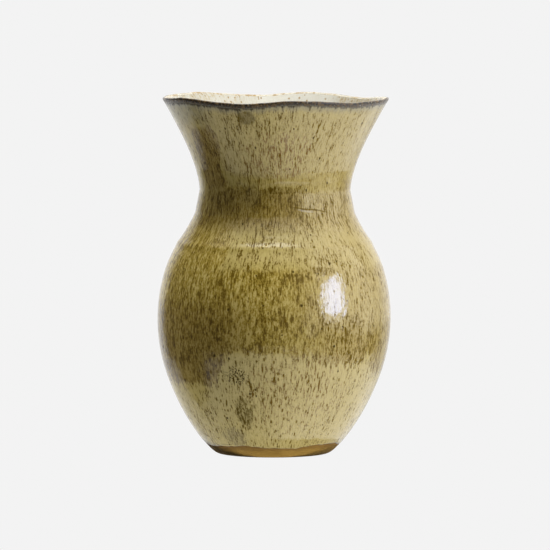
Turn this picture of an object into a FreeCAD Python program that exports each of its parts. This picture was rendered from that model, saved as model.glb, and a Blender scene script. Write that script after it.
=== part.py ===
import FreeCAD, Part
import math
import os

import Sketcher

# A wheel-thrown stoneware vase, in millimetres. The frame's origin is the centre of the foot ring's
# resting plane and +Z is up. Azimuths are measured about +Z from +X, so the side seen first,
# -Y, is at -90 degrees.
#
# The vase is one thrown and turned clay body that carries three fired coats: the outer glaze, the
# pale liner glaze and the dark iron glaze that wraps the lip. Every coat meets the clay and its
# neighbours face to face.

# ---------------------------------------------------------------- driving dimensions
# Each outline is a clamped cubic B-spline. Its poles are (radius, height) pairs, foot first.
DIMENSIONS = [
    # alias, value, what it is
    ("foot_radius", 34.5, "outline at the resting plane"),
    ("heel_radius", 44.5, "outline pole just above the foot"),
    ("heel_height", 5.5, ""),
    ("low_belly_radius", 77.5, "outline pole under the belly"),
    ("low_belly_height", 56.5, ""),
    ("high_belly_radius", 69.5, "outline pole over the belly"),
    ("high_belly_height", 123, ""),
    ("low_neck_radius", 46, "outline pole under the neck"),
    ("low_neck_height", 146, ""),
    ("high_neck_radius", 43, "outline pole over the neck"),
    ("high_neck_height", 175, ""),
    ("flare_radius", 74, "outline pole past the lip, where the trim cuts"),
    ("flare_height", 226, ""),
    ("lip_height", 220, "mean height of the glazed lip"),
    ("outer_glaze", 0.6, "outer coat, measured along the radius"),
    ("liner_glaze", 0.4, "liner coat, measured along the radius"),
    ("lip_glaze", 0.5, "coat on top of the lip, measured down"),
    ("floor_height", 7.5, "clay floor inside, above the resting plane"),
    ("floor_radius", 38, "cavity pole at the floor's turn"),
    ("low_cavity_radius", 70, "cavity pole inside the lower belly"),
    ("low_cavity_height", 54, ""),
    ("wall_belly", 5.5, "clay and outer glaze at the upper belly pole"),
    ("wall_neck", 4.6, "the same at the neck poles"),
    ("wall_lip", 3.2, "the same at the flare pole"),
    ("ring_width", 8, "width of the foot ring, across its base"),
    ("ring_depth", 2, "depth of the turned recess inside the ring"),
    ("ring_slope", 2, "how far the recess's edge leans in over its depth"),
    ("foot_round", 1.5, "round on the foot's outer edge"),
    ("ring_round", 0.6, "round on the ring's inner edge"),
    ("clay_lip_round", 0.9, "round on each edge of the clay lip"),
    ("glazed_lip_round", 1.4, "round on each edge of the glazed lip"),
    ("lip_band_out", 3, "how far the iron glaze comes down outside"),
    ("lip_band_in", 1, "how far it comes down inside"),
    ("glaze_line", 6.8, "mean height of the outer glaze's lower edge"),
]

# The hand-made lip and glaze line rise and fall with azimuth: (waves per turn, rise, phase in
# degrees). The lip has a slight lean, five slack undulations and a smaller, quicker one.
LIP_WAVES = [(1, 0.7, 167), (2, 0.2, 26), (5, 0.85, 13), (7, 0.3, -140)]
GLAZE_LINE_WAVES = [(2, 0.3, 40), (5, 0.8, 215)]
WAVE_STEPS = 40  # points round a wavy edge, enough for its quickest wave

# The trimming tools reach clear of the clay on every side.
TRIM_INSIDE, TRIM_OUTSIDE = 25, 100
TRIM_TOP, TRIM_BOTTOM = 240, -10
FLARE_SLOPE = 0.6  # the flare's run per rise at the lip
LIP_EDGE_DROP = 4  # every edge of the trimmed lip lies less than this under its mean height

doc = FreeCAD.newDocument("stoneware_vase")


def make_sheet():
    """The spreadsheet that holds the driving dimensions, one alias per row."""
    sheet = doc.addObject("Spreadsheet::Sheet", "dims")
    for row, (alias, value, meaning) in enumerate(DIMENSIONS, start=1):
        sheet.set(f"A{row}", alias)
        sheet.set(f"B{row}", str(value))
        sheet.set(f"C{row}", meaning)
        sheet.setAlias(f"B{row}", alias)
    doc.recompute()
    return sheet


dims = make_sheet()


def evaluate(expression):
    """The value of a sheet expression, such as 'dims.heel_radius - dims.outer_glaze'."""
    return float(dims.evalExpression(expression))


def bind(sketch, constraint, name, expression):
    """Adds a dimension to a sketch and binds it to the sheet."""
    index = sketch.addConstraint(constraint)
    sketch.renameConstraint(index, name)
    sketch.setExpression(f"Constraints.{name}", expression)


def origin_plane(body, role):
    return next(f for f in body.Origin.OriginFeatures if f.Role == role)


def attached_sketch(body, role, name):
    sketch = body.newObject("Sketcher::SketchObject", name)
    sketch.AttachmentSupport = [(origin_plane(body, role), "")]
    sketch.MapMode = "FlatFace"
    return sketch


# ---------------------------------------------------------------- outlines and turned forms
OUTSIDE = [
    ("dims.foot_radius", "0"),
    ("dims.heel_radius", "dims.heel_height"),
    ("dims.low_belly_radius", "dims.low_belly_height"),
    ("dims.high_belly_radius", "dims.high_belly_height"),
    ("dims.low_neck_radius", "dims.low_neck_height"),
    ("dims.high_neck_radius", "dims.high_neck_height"),
    ("dims.flare_radius", "dims.flare_height"),
]
# The clay keeps the bare foot's own outline and lies one coat inside the glaze above it.
CLAY_OUTSIDE = OUTSIDE[:1] + [(f"{r} - dims.outer_glaze", z) for r, z in OUTSIDE[1:]]
CLAY_INSIDE = [
    ("0", "dims.floor_height"),
    ("dims.floor_radius", "dims.floor_height"),
    ("dims.low_cavity_radius", "dims.low_cavity_height"),
    ("dims.high_belly_radius - dims.wall_belly", "dims.high_belly_height"),
    ("dims.low_neck_radius - dims.wall_neck", "dims.low_neck_height"),
    ("dims.high_neck_radius - dims.wall_neck", "dims.high_neck_height"),
    ("dims.flare_radius - dims.wall_lip", "dims.flare_height"),
]
GLAZED_INSIDE = [
    ("0", "dims.floor_height + dims.liner_glaze"),
    ("dims.floor_radius", "dims.floor_height + dims.liner_glaze"),
] + [(f"{r} - dims.liner_glaze", z) for r, z in CLAY_INSIDE[2:]]


def outline_sketch(body, name, poles):
    """A closed half-section: the spline, the flat top past the lip, the axis and the flat base."""
    sketch = attached_sketch(body, "XZ_Plane", name)
    points = [FreeCAD.Vector(evaluate(r), evaluate(z), 0) for r, z in poles]
    spline = sketch.addGeometry(Part.BSplineCurve(points, None, None, False, 3, None, False))
    sketch.exposeInternalGeometry(spline)
    for i, (r, z) in enumerate(poles):
        pole = spline + 1 + i
        if r == "0":
            sketch.addConstraint(Sketcher.Constraint("PointOnObject", pole, 3, -2))
        else:
            across = Sketcher.Constraint("DistanceX", -1, 1, pole, 3, points[i].x)
            bind(sketch, across, f"pole_{i}_radius", r)
        if z == "0":
            sketch.addConstraint(Sketcher.Constraint("PointOnObject", pole, 3, -1))
        else:
            up = Sketcher.Constraint("DistanceY", -1, 1, pole, 3, points[i].y)
            bind(sketch, up, f"pole_{i}_height", z)

    top = FreeCAD.Vector(0, points[-1].y, 0)
    base = FreeCAD.Vector(0, points[0].y, 0)
    top_line = sketch.addGeometry(Part.LineSegment(points[-1], top))
    axis_line = sketch.addGeometry(Part.LineSegment(top, base))
    sketch.addConstraint(Sketcher.Constraint("Coincident", spline, 2, top_line, 1))
    sketch.addConstraint(Sketcher.Constraint("Coincident", top_line, 2, axis_line, 1))
    sketch.addConstraint(Sketcher.Constraint("Horizontal", top_line))
    sketch.addConstraint(Sketcher.Constraint("PointOnObject", axis_line, 1, -2))
    if points[0].x > 0:
        base_line = sketch.addGeometry(Part.LineSegment(base, points[0]))
        sketch.addConstraint(Sketcher.Constraint("PointOnObject", axis_line, 2, -2))
        sketch.addConstraint(Sketcher.Constraint("Coincident", axis_line, 2, base_line, 1))
        sketch.addConstraint(Sketcher.Constraint("Coincident", base_line, 2, spline, 1))
        sketch.addConstraint(Sketcher.Constraint("Horizontal", base_line))
    else:
        sketch.addConstraint(Sketcher.Constraint("Coincident", axis_line, 2, spline, 1))
    return sketch


def turned_body(name, poles):
    """A solid of revolution about Z from an outline."""
    body = doc.addObject("PartDesign::Body", name)
    sketch = outline_sketch(body, f"{name}_outline", poles)
    turn = body.newObject("PartDesign::Revolution", f"{name}_turn")
    turn.Profile = sketch
    turn.ReferenceAxis = (sketch, ["V_Axis"])
    turn.Angle = 360
    doc.recompute()
    return body


def turn_foot_recess(body):
    """Grooves the shallow recess that leaves a foot ring, and rounds the ring's two edges."""
    sketch = attached_sketch(body, "XZ_Plane", "foot_recess_section")
    edge = evaluate("dims.foot_radius - dims.ring_width")
    depth = evaluate("dims.ring_depth")
    slope = evaluate("dims.ring_slope")
    corners = [
        FreeCAD.Vector(0, 0, 0),
        FreeCAD.Vector(edge, 0, 0),
        FreeCAD.Vector(edge - slope, depth, 0),
        FreeCAD.Vector(0, depth, 0),
    ]
    count = len(corners)
    for i, corner in enumerate(corners):
        sketch.addGeometry(Part.LineSegment(corner, corners[(i + 1) % count]))
    for i in range(count):
        sketch.addConstraint(Sketcher.Constraint("Coincident", i, 2, (i + 1) % count, 1))
    sketch.addConstraint(Sketcher.Constraint("Coincident", 0, 1, -1, 1))
    sketch.addConstraint(Sketcher.Constraint("Horizontal", 0))
    sketch.addConstraint(Sketcher.Constraint("Horizontal", 2))
    sketch.addConstraint(Sketcher.Constraint("Vertical", 3))
    across = Sketcher.Constraint("DistanceX", 0, 1, 0, 2, edge)
    bind(sketch, across, "ring_inside", "dims.foot_radius - dims.ring_width")
    up = Sketcher.Constraint("DistanceY", 1, 1, 1, 2, depth)
    bind(sketch, up, "depth", "dims.ring_depth")
    lean = Sketcher.Constraint("DistanceX", 1, 2, 1, 1, slope)
    bind(sketch, lean, "lean", "dims.ring_slope")
    groove = body.newObject("PartDesign::Groove", "foot_recess")
    groove.Profile = sketch
    groove.ReferenceAxis = (sketch, ["V_Axis"])
    groove.Angle = 360
    doc.recompute()
    round_ring_edge(body, "foot_radius", "foot_round")
    round_ring_edge(body, "foot_radius - dims.ring_width", "ring_round")


def round_ring_edge(body, radius, size):
    """Fillets the circular edge of that radius in the resting plane."""
    wanted = evaluate(f"dims.{radius}")
    before = body.Tip
    for number, edge in enumerate(before.Shape.Edges, start=1):
        box = edge.BoundBox
        in_plane = abs(box.ZMin) < 0.01 and abs(box.ZMax) < 0.01
        if in_plane and abs(box.XMax - wanted) < 0.05:
            fillet = body.newObject("PartDesign::Fillet", f"{size}_fillet")
            fillet.Base = (before, [f"Edge{number}"])
            fillet.setExpression("Radius", f"dims.{size}")
            doc.recompute()
            return
    raise RuntimeError(f"no edge of radius {wanted} in the resting plane")


# ---------------------------------------------------------------- wavy trimming tools
def wave(waves, azimuth):
    return sum(rise * math.cos(count * azimuth + math.radians(phase)) for count, rise, phase in waves)


def wavy_loop(radius, height, waves):
    """A closed smooth curve round the axis that rises and falls about a height."""
    points = []
    for step in range(WAVE_STEPS):
        azimuth = 2 * math.pi * step / WAVE_STEPS
        rise = wave(waves, azimuth)
        x, y = radius * math.cos(azimuth), radius * math.sin(azimuth)
        points.append(FreeCAD.Vector(x, y, height + rise))
    curve = Part.BSplineCurve()
    curve.interpolate(points, PeriodicFlag=True)
    return curve.toShape()


def wavy_ring_tool(name, inner_height, outer_height, flat_height, waves):
    """A ring-shaped solid between a wavy face and a flat one, for cutting all on one side of the
    wavy face. The wavy face may stand at one height at the ring's inside and another outside."""
    wavy_in = wavy_loop(TRIM_INSIDE, inner_height, waves)
    wavy_out = wavy_loop(TRIM_OUTSIDE, outer_height, waves)
    flat_in = wavy_loop(TRIM_INSIDE, flat_height, [])
    flat_out = wavy_loop(TRIM_OUTSIDE, flat_height, [])
    sides = [(wavy_in, wavy_out), (wavy_out, flat_out), (flat_out, flat_in), (flat_in, wavy_in)]
    shell = Part.makeShell([Part.makeRuledSurface(a, b) for a, b in sides])
    shell.sewShape()
    solid = Part.makeSolid(shell)
    if solid.Volume < 0:
        solid.reverse()
    tool = doc.addObject("Part::Feature", name)
    tool.Shape = solid
    return tool


def heights_at_wall(inner_drop, outer_drop):
    """The heights at a ring tool's inside and outside that put its sloped face those drops below
    the lip at the wall's inner and outer faces."""
    lip = evaluate("dims.lip_height")
    wall_out = evaluate("dims.flare_radius") - (evaluate("dims.flare_height") - lip) * FLARE_SLOPE
    wall_in = wall_out - evaluate("dims.wall_lip + dims.liner_glaze")
    slope = (inner_drop - outer_drop) / (wall_out - wall_in)
    inside = lip - inner_drop - slope * (wall_in - TRIM_INSIDE)
    outside = lip - outer_drop + slope * (TRIM_OUTSIDE - wall_out)
    return inside, outside


def cut(name, base, tool):
    """base less tool, as a document object."""
    result = doc.addObject("Part::Cut", name)
    result.Base = base
    result.Tool = tool
    doc.recompute()
    return result


def common(name, base, tool):
    """What base and tool share, as a document object."""
    result = doc.addObject("Part::Common", name)
    result.Base = base
    result.Tool = tool
    doc.recompute()
    return result


def round_lip(name, base, size):
    """base with both edges of its wavy lip rounded."""
    low = evaluate("dims.lip_height") - LIP_EDGE_DROP
    radius = evaluate(f"dims.{size}")
    edges = [
        (number, radius, radius)
        for number, edge in enumerate(base.Shape.Edges, start=1)
        if edge.BoundBox.ZMin > low and edge.BoundBox.XLength > 2 * TRIM_INSIDE
    ]
    result = doc.addObject("Part::Fillet", name)
    result.Base = base
    result.Edges = edges
    doc.recompute()
    return result


# ---------------------------------------------------------------- the four pieces
def build():
    lip = evaluate("dims.lip_height")
    clay_lip = lip - evaluate("dims.lip_glaze")
    band_in, band_out = heights_at_wall(evaluate("dims.lip_band_in"), evaluate("dims.lip_band_out"))
    line = evaluate("dims.glaze_line")

    above_lip = wavy_ring_tool("above_lip", lip, lip, TRIM_TOP, LIP_WAVES)
    above_clay_lip = wavy_ring_tool("above_clay_lip", clay_lip, clay_lip, TRIM_TOP, LIP_WAVES)
    lip_zone = wavy_ring_tool("lip_zone", band_in, band_out, TRIM_TOP, LIP_WAVES)
    below_glaze = wavy_ring_tool("below_glaze", line, line, TRIM_BOTTOM, GLAZE_LINE_WAVES)

    # The thrown clay: outside, less the cavity, trimmed and rounded at the lip.
    clay_form = turned_body("clay_form", CLAY_OUTSIDE)
    clay_outside = turned_body("clay_outside", CLAY_OUTSIDE)
    turn_foot_recess(clay_form)
    clay_cavity = turned_body("clay_cavity", CLAY_INSIDE)
    hollow = cut("clay_hollow", clay_form, clay_cavity)
    trimmed = cut("clay_trimmed", hollow, above_clay_lip)
    stoneware = round_lip("stoneware", trimmed, "clay_lip_round")

    # The whole glazed lip: glazed outside less glazed inside, trimmed and rounded.
    glazed_outside = turned_body("glazed_outside", OUTSIDE)
    glazed_cavity = turned_body("glazed_cavity", GLAZED_INSIDE)
    glazed_wall = cut("glazed_wall", glazed_outside, glazed_cavity)
    glazed_trimmed = cut("glazed_trimmed", glazed_wall, above_lip)
    glazed_round = round_lip("glazed_round", glazed_trimmed, "glazed_lip_round")
    glazed_lip = common("glazed_lip", glazed_round, lip_zone)
    lip_coat = cut("lip_coat", glazed_lip, stoneware)

    # The outer and liner coats stop where the lip coat starts.
    outer_skin = cut("outer_skin", glazed_outside, clay_outside)
    outer_above_line = cut("outer_above_line", outer_skin, below_glaze)
    outer_coat = cut("outer_coat", outer_above_line, lip_zone)
    liner_skin = cut("liner_skin", clay_cavity, glazed_cavity)
    liner_coat = cut("liner_coat", liner_skin, lip_zone)

    return {
        "stoneware_body": stoneware,
        "outer_glaze": outer_coat,
        "liner_glaze": liner_coat,
        "lip_glaze": lip_coat,
    }


def check_and_write(pieces):
    """Stops on any failed object or bad shape, then writes one STEP file per piece."""
    doc.recompute()
    failed = [o.Name for o in doc.Objects if {"Invalid", "Error"} & set(o.State)]
    if failed:
        raise RuntimeError(f"these objects failed: {failed}")
    for label, piece in pieces.items():
        piece.Label = label
        shape = piece.Shape
        if shape.isNull() or not shape.isValid() or not shape.Solids:
            raise RuntimeError(f"{label} has no valid solid")
    os.makedirs("parts", exist_ok=True)
    for label, piece in pieces.items():
        piece.Shape.exportStep(os.path.join("parts", f"{label}.step"))
        print(f"{label}: {len(piece.Shape.Solids)} solid, {piece.Shape.Volume / 1000:.2f} cm3")


check_and_write(build())
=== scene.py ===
import math

import bmesh
import bpy
import numpy as np
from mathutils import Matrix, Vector


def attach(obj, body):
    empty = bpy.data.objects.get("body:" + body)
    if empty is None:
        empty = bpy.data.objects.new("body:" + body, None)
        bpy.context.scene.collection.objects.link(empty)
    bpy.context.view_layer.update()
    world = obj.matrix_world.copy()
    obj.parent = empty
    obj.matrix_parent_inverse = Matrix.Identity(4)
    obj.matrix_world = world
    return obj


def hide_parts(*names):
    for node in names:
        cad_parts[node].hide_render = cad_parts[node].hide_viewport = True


# The looks of a hand-thrown stoneware vase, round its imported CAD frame. Lengths in the design
# numbers are millimetres, and meshes are in metres. +Z is up and -Y is the side seen first.

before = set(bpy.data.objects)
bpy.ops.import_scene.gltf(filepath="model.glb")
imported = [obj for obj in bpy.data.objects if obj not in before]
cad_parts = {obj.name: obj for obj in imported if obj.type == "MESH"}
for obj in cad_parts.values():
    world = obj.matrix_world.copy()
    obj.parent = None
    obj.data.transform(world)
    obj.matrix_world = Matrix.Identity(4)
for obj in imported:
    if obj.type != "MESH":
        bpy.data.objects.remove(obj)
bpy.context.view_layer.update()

MM = 0.001
SEGMENTS = 420  # points round each glaze
CLAY_SEGMENTS = 360
SHARP_ANGLE = 50  # edges that turn by more degrees than this are shaded sharp
FLOW_RADIUS = 60  # the glaze pattern is laid out on a cylinder of this radius

# ---------------------------------------------------------------- the pot's form, as in its CAD
# Clamped cubic B-spline poles, (radius, height), foot first.
GLAZE_OUTSIDE = [(34.5, 0), (44.5, 5.5), (77.5, 56.5), (69.5, 123), (46, 146), (43, 175), (74, 226)]
OUTER_COAT = 0.6
LINER_COAT = 0.4
CLAY_OUTSIDE = GLAZE_OUTSIDE[:1] + [(r - OUTER_COAT, z) for r, z in GLAZE_OUTSIDE[1:]]
CLAY_INSIDE = [(0, 7.5), (38, 7.5), (70, 54), (64, 123), (41.4, 146), (38.4, 175), (70.8, 226)]
GLAZE_INSIDE = [(0, 7.9), (38, 7.9)] + [(r - LINER_COAT, z) for r, z in CLAY_INSIDE[2:]]
LIP_HEIGHT = 220
LIP_WAVES = [(1, 0.7, 167), (2, 0.2, 26), (5, 0.85, 13), (7, 0.3, -140)]
LIP_TREMBLE = [(13, 0.10, 60), (23, 0.06, 140), (37, 0.03, 10)]
LIP_COAT = 0.5
BAND_OUT, BAND_IN = 3.0, 1.0  # how far the iron glaze comes down outside and inside
GLAZE_LINE = 6.8
GLAZE_LINE_WAVES = [(2, 0.3, 40), (5, 0.8, 215), (13, 0.22, 20), (29, 0.12, 80), (47, 0.08, 200)]
RING_INSIDE, RING_DEPTH, RING_SLOPE = 26.5, 2.0, 2.0
FOOT_ROUND, RING_ROUND = 1.5, 0.6
GLAZED_LIP_ROUND = 1.7
CLAY_LIP_ROUND_OUT, CLAY_LIP_ROUND_IN = 1.3, 0.6
LEAN = 1.7  # how far the lip stands to +X of the foot
SPIRAL_DEPTH, SPIRAL_PITCH = 0.012, 6.3  # the throwing spiral, all the way up
FLOOR_START = 3.0  # how far from the axis the liner's and the cavity's rows start

# Throwing rings that a hand can feel: (height, how proud, half-width).
RINGS = [
    (130.9, 0.42, 1.9),
    (138, -0.12, 3.5),
    (117, 0.06, 3.0),
    (104, -0.05, 4.0),
    (151, 0.10, 2.2),
    (168, -0.04, 4.5),
    (191, -0.05, 4.0),
    (203, 0.05, 2.5),
    (62, 0.05, 4.0),
    (40, -0.05, 4.0),
    (24, 0.06, 3.0),
]


def wave(waves, azimuth):
    """A slow rise and fall round the pot: (waves per turn, rise, phase in degrees) each."""
    return sum(rise * np.cos(count * azimuth + math.radians(phase)) for count, rise, phase in waves)


def share_of_span(part, span):
    """part / span, and 0 where the knots coincide."""
    return np.where(span > 0, part / np.where(span > 0, span, 1), 0)


def spline_points(poles, count=4000):
    """Points along a clamped uniform cubic B-spline, by the Cox-de Boor recursion."""
    poles = np.array(poles, float)
    degree = 3
    spans = len(poles) - degree
    knots = np.concatenate([[0] * degree, np.linspace(0, 1, spans + 1), [1] * degree])
    t = np.linspace(0, 1 - 1e-9, count)[:, None]
    basis = ((knots[:-1] <= t) & (t < knots[1:])).astype(float)
    for d in range(1, degree + 1):
        rising = share_of_span(t - knots[: -d - 1], knots[d:-1] - knots[: -d - 1])
        falling = share_of_span(knots[d + 1 :] - t, knots[d + 1 :] - knots[1:-d])
        basis = rising * basis[:, :-1] + falling * basis[:, 1:]
    return basis @ poles


class Outline:
    """A pot's outline, looked up by the length along it from its first pole."""

    def __init__(self, poles):
        points = spline_points(poles)
        self.r, self.z = points.T
        steps = np.hypot(np.diff(self.r), np.diff(self.z))
        self.s = np.concatenate([[0], np.cumsum(steps)])
        dr, dz = np.gradient(self.r), np.gradient(self.z)
        length = np.hypot(dr, dz)
        self.nr, self.nz = dz / length, -dr / length

    def length_at(self, height):
        return np.interp(height, self.z, self.s)

    def radius_at(self, height):
        return np.interp(height, self.z, self.r)

    def at(self, s):
        """Radius, height and the outward normal's radial and upward parts."""
        return [np.interp(s, self.s, values) for values in (self.r, self.z, self.nr, self.nz)]


glaze_outside = Outline(GLAZE_OUTSIDE)
clay_outside = Outline(CLAY_OUTSIDE)
clay_inside = Outline(CLAY_INSIDE)
glaze_inside = Outline(GLAZE_INSIDE)


def lip_top(azimuth):
    return LIP_HEIGHT + wave(LIP_WAVES, azimuth) + wave(LIP_TREMBLE, azimuth)


def glaze_edge(azimuth):
    return GLAZE_LINE + wave(GLAZE_LINE_WAVES, azimuth)


def ring_relief(height, azimuth):
    """How proud the throwing rings stand. Each wanders a little, and fades in places."""
    relief = 0
    for k, (at, proud, half) in enumerate(RINGS):
        drift = 0.5 * np.sin(azimuth + 1.7 * k) + 0.2 * np.sin(3 * azimuth + k)
        strength = 0.75 + 0.25 * np.sin(2 * azimuth + 2.3 * k)
        relief = relief + proud * strength * np.exp(-(((height - at - drift) / half) ** 2))
    spiral = SPIRAL_DEPTH * np.sin(2 * math.pi * height / SPIRAL_PITCH + azimuth)
    return relief + spiral


# ---------------------------------------------------------------- meshes
def ease(a, b, x):
    """0 below a and 1 above b, smooth between."""
    t = np.clip((x - a) / (b - a), 0, 1)
    return t * t * (3 - 2 * t)


class Rows:
    """Rings of points round the axis, gathered row by row into one mesh."""

    def __init__(self, count=SEGMENTS):
        self.azimuth = np.arange(count) * 2 * math.pi / count
        self.points, self.flow, self.marks = [], [], []

    def add(self, radius, height, along, mark):
        """One ring. along is the pattern's length coordinate, and mark a value for the material."""
        a = self.azimuth
        full = np.ones_like(a)
        radius, height, along, mark = radius * full, height * full, along * full, mark * full
        lean = LEAN * np.clip(height, 0, None) / LIP_HEIGHT
        self.points.append(np.stack([radius * np.cos(a) + lean, radius * np.sin(a), height], 1) * MM)
        self.flow.append(np.stack([FLOW_RADIUS * np.cos(a), FLOW_RADIUS * np.sin(a), along], 1))
        self.marks.append(mark)

    def build(self, name, first_pole=None, last_pole=None):
        """A closed mesh: rows joined in a loop, or ended by a fan to a point on the axis."""
        rows, count = len(self.points), len(self.azimuth)
        points, flow, marks = (np.concatenate(x) for x in (self.points, self.flow, self.marks))
        ring = np.arange(count)
        after = (ring + 1) % count
        faces = []
        last = rows - 1 if first_pole is not None else rows
        for i in range(last):
            a, b = i * count, (i + 1) % rows * count
            faces += np.stack([a + ring, a + after, b + after, b + ring], 1).tolist()
        for pole, row, flip in ((first_pole, 0, True), (last_pole, rows - 1, False)):
            if pole is None:
                continue
            tip = len(points)
            base = row * count
            points = np.vstack([points, [[0, 0, pole * MM]]])
            flow = np.vstack([flow, [[0, 0, flow[base, 2]]]])
            marks = np.append(marks, marks[base])
            pair = (base + after, base + ring) if flip else (base + ring, base + after)
            faces += np.stack([*pair, np.full(count, tip)], 1).tolist()
        return make_object(name, points, faces, flow, marks)

    def build_on_clay(self, name, backs):
        """A liner: its seen side, and a hidden side on the clay, each ended by a fan on the axis."""
        seen = (self.points, self.flow, self.marks)
        self.points, self.flow, self.marks = [], [], []
        for s in reversed(backs):
            r, z, _, _ = clay_inside.at(s)
            self.add(r, z, s, 0.0)
        hidden = (self.points[::-1], self.flow[::-1], self.marks[::-1])
        # From the axis on the clay's side, out and up, over the joint, and down the seen side.
        self.points, self.flow, self.marks = (h + s for h, s in zip(hidden, seen))
        return self.build(name, first_pole=clay_inside.z[0], last_pole=glaze_inside.z[0])


def make_object(name, points, faces, flow, marks):
    """A smooth-shaded mesh object, its normals outwards, that carries the pattern's coordinates."""
    mesh = bpy.data.meshes.new(name)
    mesh.from_pydata(points.tolist(), [], faces)
    corners = np.array([f[:3] for f in faces])
    a, b, c = (points[corners[:, k]] for k in range(3))
    if np.einsum("ij,ij->i", a, np.cross(b, c)).sum() < 0:
        mesh.flip_normals()
    for title, kind, field, values in (
        ("flow", "FLOAT_VECTOR", "vector", flow),
        ("mark", "FLOAT", "value", marks),
    ):
        attribute = mesh.attributes.new(title, kind, "POINT")
        attribute.data.foreach_set(field, values.ravel().astype(np.float32))
    mesh.shade_smooth()
    mesh.set_sharp_from_angle(angle=math.radians(SHARP_ANGLE))
    mesh.update()
    piece = bpy.data.objects.new(name, mesh)
    bpy.context.scene.collection.objects.link(piece)
    return piece


# The outer coat's lower edge: how far along its rows stand, and its roll and its bead.
EDGE_STEPS = [0.0, 0.04, 0.12, 0.25, 0.45, 0.7, 1.0, 1.4, 1.9, 2.6, 3.5, 4.6]
ROLL_LENGTH = 0.9
ROLL_DEPTH = 0.92 * OUTER_COAT
BEAD_HEIGHT, BEAD_AT, BEAD_HALF = 0.16, 1.3, 0.8
COAT_LAP = 0.05  # how far below its edge the coat's hidden side ends
# Rows up each long face.
COAT_ROWS, COAT_BACK_ROWS = 196, 12
LINER_ROWS, LINER_BACK_ROWS = 150, 30
CLAY_ROWS = 60
# Rows of the lip: its straight part, over its glazed top and over the clay's top.
LIP_STRAIGHT_ROWS, LIP_TOP_ROWS, CLAY_TOP_ROWS = 9, 24, 12


def outer_face(azimuth, s):
    """The outer coat's surface: the outline, with the throwing rings on it."""
    r, z, nr, nz = glaze_outside.at(s)
    lip = lip_top(azimuth)
    fade = ease(6, 18, z) * (1 - ease(lip - 14, lip - 5, z))
    relief = ring_relief(z, azimuth) * fade
    return r + relief * nr, z + relief * nz


def build_outer_glaze():
    rows = Rows()
    a = rows.azimuth
    low = clay_outside.length_at(glaze_edge(a))
    low_out = glaze_outside.length_at(glaze_edge(a))
    high = glaze_outside.length_at(lip_top(a) - BAND_OUT)
    # The lower edge rolls out from the clay to the coat's full thickness, with a slight bead
    # that swells and shrinks round the pot.
    swell = 0.6 + 0.4 * np.sin(9 * a + 3 * np.sin(2 * a))
    for step in EDGE_STEPS:
        s = low_out + step
        r, z = outer_face(a, s)
        roll = math.sqrt(1 - (1 - min(step / ROLL_LENGTH, 1)) ** 2)
        bead = BEAD_HEIGHT * math.exp(-(((step - BEAD_AT) / BEAD_HALF) ** 2))
        _, _, nr, nz = glaze_outside.at(s)
        proud = bead * swell - ROLL_DEPTH * (1 - roll)
        rows.add(r + proud * nr, z + proud * nz, s, step)
    start = low_out + EDGE_STEPS[-1]
    for k in range(1, COAT_ROWS + 1):
        s = start + (high - start) * k / COAT_ROWS
        r, z = outer_face(a, s)
        rows.add(r, z, s, s - low_out)
    # The hidden side lies on the clay.
    top = clay_outside.length_at(lip_top(a) - BAND_OUT)
    for k in range(COAT_BACK_ROWS + 1):
        s = top + (low + COAT_LAP - top) * k / COAT_BACK_ROWS
        r, z, _, _ = clay_outside.at(s)
        rows.add(r, z, s, s - low)
    return rows.build("vase_outer_glaze")


def lip_section(outside, inside, top, round_out, round_in, turn):
    """A ring on a rounded lip. turn goes from 0, outside, over the top, to 1, inside."""
    angle = math.pi * turn
    drop = round_out if turn < 0.5 else round_in
    z = top - drop * (1 - math.sin(angle))
    out, inn = outside.radius_at(z), inside.radius_at(z)
    return (out + inn) / 2 + (out - inn) / 2 * math.cos(angle), z


def clay_lip(azimuth, turn):
    """A ring on the clay's own lip, under its glaze."""
    top = lip_top(azimuth) - LIP_COAT
    return lip_section(clay_outside, clay_inside, top, CLAY_LIP_ROUND_OUT, CLAY_LIP_ROUND_IN, turn)


def build_lip_glaze():
    rows = Rows()
    a = rows.azimuth
    top = lip_top(a)
    # The mark goes from 0 at the band's outer edge, over the top, to 1 at its inner edge.
    mark_at_turn = 0.3
    for k in range(LIP_STRAIGHT_ROWS):
        share = k / LIP_STRAIGHT_ROWS
        z = top - BAND_OUT + (BAND_OUT - GLAZED_LIP_ROUND) * share
        rows.add(glaze_outside.radius_at(z), z, z, mark_at_turn * share)
    swell = 0.10 * np.sin(7 * a + 1) + 0.06 * np.sin(17 * a)
    for k in range(LIP_TOP_ROWS + 1):
        turn = k / LIP_TOP_ROWS
        r, z = lip_section(glaze_outside, glaze_inside, top, GLAZED_LIP_ROUND, BAND_IN, turn)
        proud = math.sin(math.pi * turn) * swell
        mark = mark_at_turn + (1 - mark_at_turn) * turn
        rows.add(r + proud * math.cos(math.pi * turn), z + 0.3 * proud, z, mark)
    for k in range(CLAY_TOP_ROWS + 1):
        turn = 1 - k / CLAY_TOP_ROWS
        r, z = clay_lip(a, turn)
        rows.add(r, z, z, turn)
    z = top - BAND_OUT
    rows.add(clay_outside.radius_at(z), z, z, 0)
    return rows.build("vase_lip_glaze")


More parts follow.
